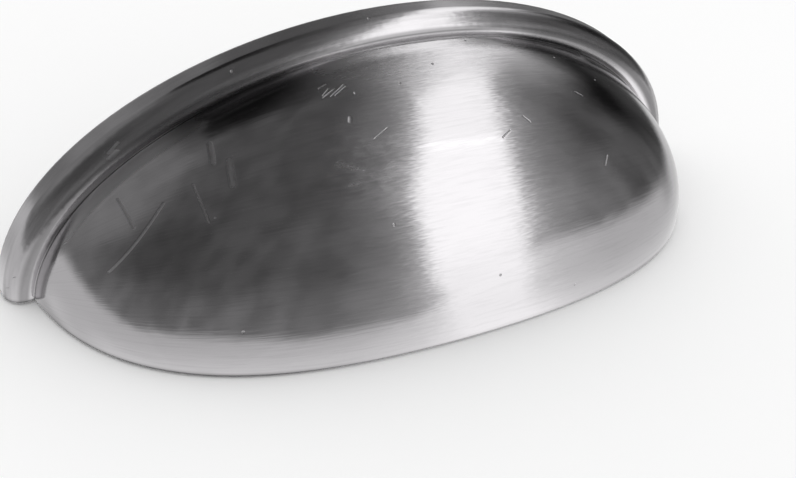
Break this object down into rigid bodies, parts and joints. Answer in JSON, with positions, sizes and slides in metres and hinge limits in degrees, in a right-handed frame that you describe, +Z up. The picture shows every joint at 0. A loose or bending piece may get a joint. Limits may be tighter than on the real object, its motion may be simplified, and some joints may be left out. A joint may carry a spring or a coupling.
{
  "type": "cup pull",
  "caption": "Die-cast cup pull: a hollow dome, open underneath, stands out of a beaded rim whose flat back bears on a drawer front and is held by screws into cast posts.",
  "frame": {"origin": "midway between the two screw holes, in the flat back face", "axes": "+X along the pull, +Y out of the back face into the drawer front, +Z up; the dome stands out towards -Y and opens downwards"},
  "size_m": [0.096, 0.0275, 0.0287],
  "materials": {
    "brushed_nickel": "brushed nickel plate on zinc, satin, brushed along the pull"
  },
  "bodies": {
    "root": {"cup_pull": "brushed_nickel"}
  },
  "joints": []
}
